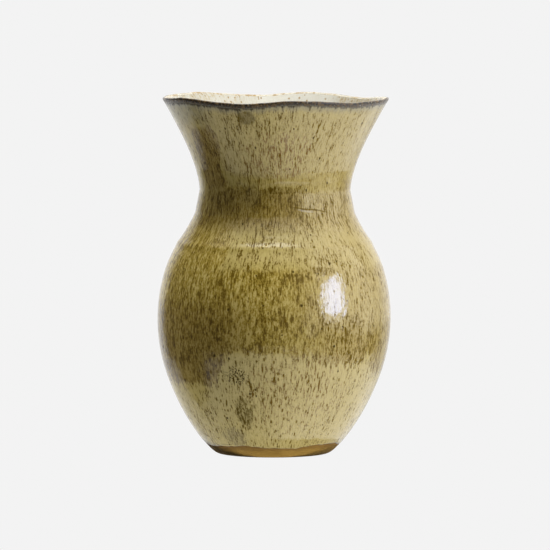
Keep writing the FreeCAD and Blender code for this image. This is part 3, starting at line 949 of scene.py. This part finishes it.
# Cards that the glaze mirrors: name, azimuth, elevation, distance, width, height, glow, colour.
# The first makes the square highlight on the belly.
MIRRORED_CARDS = [
    ("softbox", 61.5, 12.5, 1.5, 0.60, 0.66, 19.0, (0.57, 0.665, 1.0)),
    ("softbox_halo", 60, 10, 1.6, 0.78, 0.80, 4.8, (0.95, 0.93, 0.92)),
    ("side_glow", 36, 1, 1.6, 0.26, 0.80, 2.4, (1.0, 0.96, 0.88)),
]
# A card's corners, as fractions of its width and height. Its top left is masked.
CARD_CORNERS = [
    (-0.3, -0.5),
    (0.4, -0.5),
    (0.5, -0.3),
    (0.5, 0.3),
    (0.36, 0.5),
    (-0.02, 0.5),
    (-0.5, 0.08),
    (-0.5, -0.36),
]
# A flag beside the neck keeps the softbox off it: its azimuths, heights, distance and glow.
FLAG_LEFT, FLAG_RIGHT = 38, 92
FLAG_LOW, FLAG_HIGH = 0.148, 0.213
FLAG_DISTANCE, FLAG_GLOW = 0.15, 3.3

# The camera: a long lens from well back, a little above the pot.
CAMERA_AIM = (1.24 * MM, 0, 110.2 * MM)
CAMERA_DISTANCE, CAMERA_ELEVATION = 4.4, 4.0
FRAME_WIDTH = 0.340  # what the camera takes in at the pot
SENSOR_WIDTH = 36


def emission(name, strength, color=(1, 1, 1)):
    g = Graph(name)
    glow = g.node("Emission", None, Color=color, Strength=strength)
    g.node("OutputMaterial", None, Surface=glow.outputs[0])
    return g.material


def studio_object(name, mesh, material, seen_by):
    """Something in the studio, seen only by those kinds of ray."""
    thing = bpy.data.objects.new(name, mesh)
    bpy.context.scene.collection.objects.link(thing)
    mesh.materials.append(material)
    for ray in ("camera", "diffuse", "glossy", "transmission", "volume_scatter", "shadow"):
        setattr(thing, "visible_" + ray, ray in seen_by)
    return thing


def card(name, corners, material, seen_by):
    mesh = bpy.data.meshes.new(name)
    mesh.from_pydata(corners, [], [range(len(corners))])
    studio_object(name, mesh, material, seen_by)


def room_glow():
    """The white table, the lit ceiling and the bright right-hand side that the glaze mirrors.
    Angles are in degrees about the pot's middle, as in polar."""
    g = Graph("room_glow")
    place = g.node("TexCoord").outputs["Object"]
    x, y, z = g.node("SeparateXYZ", None, Vector=g.vector("NORMALIZE", place)).outputs
    to_deg = math.degrees(1)
    azimuth = g.mul(g.math("ARCTAN2", x, g.mul(y, -1.0)), to_deg)
    elevation = g.mul(g.math("ARCSINE", z), to_deg)
    from_right = g.mul(g.sub(azimuth, 75.0), 1 / to_deg)
    turned = g.mul(g.add(g.math("COSINE", from_right), 1.0), 0.5)
    table = g.add(0.9, g.mul(g.math("POWER", turned, 2.0), 2.0))
    ceiling = g.add(1.2, g.mul(g.math("POWER", turned, 4.0), 2.0))
    ceiling = g.add(ceiling, g.step(elevation, 60, 68, 0.0, 5.0))

    # The walls: dim in front, bright on the right, and dimmer again from behind to the left.
    low_right = g.mul(g.step(elevation, -13, -3, 1.0, 0.0), 0.54)
    right_wall = g.mul(g.step(azimuth, 5, 85, 0.0, 2.9), g.sub(1.0, low_right))
    walls = g.add(g.step(azimuth, -15, 10, 0.13, 0.4), right_wall)
    behind = g.add(g.step(azimuth, 95, 130, 0.0, 1.9), g.step(azimuth, 140, 175, 0.0, 0.4))
    walls = g.most(g.sub(walls, behind), g.step(azimuth, 100, 140, 0.0, 0.9))
    walls = g.add(walls, g.step(azimuth, -146, -135, 0.85, 0.0))

    # The table's edge stands lowest on the left and highest behind.
    left_edge = g.step(azimuth, -130, -116, 22.0, 0.0)
    table_edge = g.add(g.step(azimuth, -94, -72, -38.0, -22.5), left_edge)
    table_edge = g.add(table_edge, g.step(azimuth, 100, 125, 0.0, 6.0))
    above_table = g.step(g.sub(elevation, table_edge), -5, 5)
    glow = g.add(g.mul(table, g.sub(1.0, above_table)), g.mul(walls, above_table))
    above_walls = g.step(elevation, 36, 52)
    glow = g.add(g.mul(glow, g.sub(1.0, above_walls)), g.mul(ceiling, above_walls))
    shine = g.node("Emission", None, Color=(1, 1, 1), Strength=glow)
    g.node("OutputMaterial", None, Surface=shine.outputs[0])
    g.material.cycles.emission_sampling = "NONE"
    return g.material


def room_dome():
    shape = bmesh.new()
    bmesh.ops.create_uvsphere(shape, u_segments=48, v_segments=24, radius=DOME_RADIUS)
    mesh = bpy.data.meshes.new("room_dome")
    shape.to_mesh(mesh)
    shape.free()
    dome = studio_object("room_dome", mesh, room_glow(), ("glossy",))
    dome.location = POT_MIDDLE


def soft_light(name, at, width, height, radiance):
    """A light for the pigment only: the glaze mirrors the dome and the cards instead."""
    data = bpy.data.lights.new(name, "AREA")
    data.shape = "RECTANGLE"
    data.size, data.size_y = width, height
    data.energy = radiance * math.pi * width * height
    lamp = bpy.data.objects.new(name, data)
    lamp.location = at
    lamp.rotation_euler = (Vector(POT_MIDDLE) - Vector(at)).to_track_quat("-Z", "Y").to_euler()
    lamp.visible_camera = False
    lamp.visible_glossy = False
    bpy.context.scene.collection.objects.link(lamp)


def mirrored_card(name, azimuth_deg, elevation_deg, distance, width, height, glow, color):
    """A card that faces the pot, seen in the glaze alone."""
    at = Vector(polar(azimuth_deg, elevation_deg, distance))
    ahead = (Vector(POT_MIDDLE) - at).normalized()
    across = ahead.cross(Vector((0, 0, 1))).normalized()
    up = across.cross(ahead).normalized()
    corners = [tuple(at + across * x * width + up * y * height) for x, y in CARD_CORNERS]
    card(name, corners, emission(name + "_glow", glow, color), ("glossy",))


def disc(radius, stretch=1.0):
    """Corners of a disc just under the foot, stretched along X."""
    turns = [360 * k / DISC_CORNERS for k in range(DISC_CORNERS)]
    points = [polar(azimuth, 0, radius, (0, 0, CARD_HEIGHT)) for azimuth in turns]
    return [(x * stretch, y, z) for x, y, z in points]


def build_studio():
    signs = ((-1, -1), (1, -1), (1, 1), (-1, 1))
    floor = [(FLOOR_HALF * x, FLOOR_HALF * y, FLOOR_HEIGHT) for x, y in signs]
    card("studio_floor", floor, emission("floor_pale", STUDIO_PALE), ("camera",))

    world = bpy.data.worlds.new("studio")
    bpy.context.scene.world = world
    world.use_nodes = True
    background = world.node_tree.nodes["Background"]
    background.inputs[0].default_value = (1, 1, 1, 1)
    background.inputs[1].default_value = STUDIO_PALE
    for ray in ("diffuse", "glossy", "transmission", "scatter"):
        setattr(world.cycles_visibility, ray, False)

    # The table shades the foot from the light that comes up past its edges.
    shade = disc(SHADE_RADIUS, SHADE_STRETCH)
    card("table_shade", shade, emission("table_shade_black", 0.0), ("shadow", "diffuse"))
    mirror_glow = emission("table_mirror_glow", MIRROR_GLOW)
    card("table_mirror", disc(MIRROR_RADIUS), mirror_glow, ("glossy",))

    room_dome()
    for light in SOFT_LIGHTS:
        soft_light(*light)
    for mirrored in MIRRORED_CARDS:
        mirrored_card(*mirrored)
    corners = ((FLAG_LEFT, FLAG_LOW), (FLAG_RIGHT, FLAG_LOW), (FLAG_RIGHT, FLAG_HIGH),
               (FLAG_LEFT, FLAG_HIGH))
    flag = [polar(azimuth, 0, FLAG_DISTANCE, (0, 0, height)) for azimuth, height in corners]
    card("softbox_flag", flag, emission("flag_glow", FLAG_GLOW), ("glossy",))


def build_camera():
    aim = Vector(CAMERA_AIM)
    elevation = math.radians(CAMERA_ELEVATION)
    data = bpy.data.cameras.new("camera")
    data.sensor_width = SENSOR_WIDTH
    data.lens = SENSOR_WIDTH * CAMERA_DISTANCE / FRAME_WIDTH
    camera = bpy.data.objects.new("camera", data)
    towards = Vector((0, -math.cos(elevation), math.sin(elevation)))
    camera.location = aim + towards * CAMERA_DISTANCE
    camera.rotation_euler = (aim - camera.location).to_track_quat("-Z", "Y").to_euler()
    bpy.context.scene.collection.objects.link(camera)
    bpy.context.scene.camera = camera


build_studio()
build_camera()
bpy.context.scene.view_settings.view_transform = "Standard"
